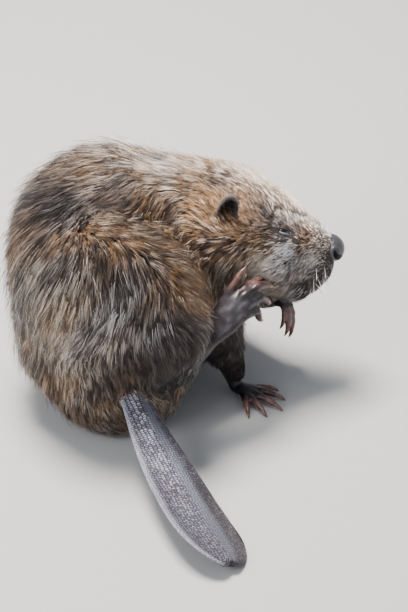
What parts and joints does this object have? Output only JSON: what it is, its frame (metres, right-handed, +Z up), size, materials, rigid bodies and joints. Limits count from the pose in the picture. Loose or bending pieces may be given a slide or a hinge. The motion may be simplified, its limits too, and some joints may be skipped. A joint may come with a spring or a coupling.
{
  "type": "beaver display model",
  "caption": "Life-size still model of a beaver, hunched on its rump, one forepaw down and one held up, scratching its cheek with a raised hind foot, scaly tail laid out.",
  "frame": {"origin": "on the floor, on the flat under the rump", "axes": "+X the way the nose points, -Y the beaver's right side, towards which the tail lies, +Z up"},
  "size_m": [0.342, 0.4451, 0.2627],
  "materials": {
    "fur": "long coarse guard hairs, grey-brown with cream tips, golden brown on shoulders, neck and face",
    "tail_scales": "bare slate-grey skin in small flat scales, smooth and a little shiny",
    "bare_skin": "bare dark grey skin, finely creased, damp sheen, pinkish at some toe tips",
    "claw": "brown horn, smooth, satin",
    "ear": "charcoal skin under very short hairs, matte",
    "eye": "near black, wet gloss",
    "nose": "dark grey bare skin, finely pebbled, slightly moist"
  },
  "bodies": {
    "root": {"right_hind_leg": "fur", "left_hind_leg": "fur", "right_foreleg": "fur", "left_foreleg": "fur", "head": "fur", "neck": "fur", "trunk": "fur", "tail": "tail_scales", "right_fore_paw": "bare_skin", "right_fore_claw_1": "claw", "right_fore_claw_2": "claw", "right_fore_claw_3": "claw", "right_fore_claw_4": "claw", "right_fore_claw_5": "claw", "left_fore_paw": "bare_skin", "left_fore_claw_1": "claw", "left_fore_claw_2": "claw", "left_fore_claw_3": "claw", "left_fore_claw_4": "claw", "left_fore_claw_5": "claw", "right_hind_paw": "bare_skin", "right_hind_claw_1": "claw", "right_hind_claw_2": "claw", "right_hind_claw_3": "claw", "right_hind_claw_4": "claw", "right_hind_claw_5": "claw", "left_hind_paw": "bare_skin", "left_hind_claw_1": "claw", "left_hind_claw_2": "claw", "left_hind_claw_3": "claw", "left_hind_claw_4": "claw", "left_hind_claw_5": "claw", "right_ear": "ear", "right_eye": "eye", "left_ear": "ear", "left_eye": "eye", "nose": "nose"}
  },
  "joints": []
}
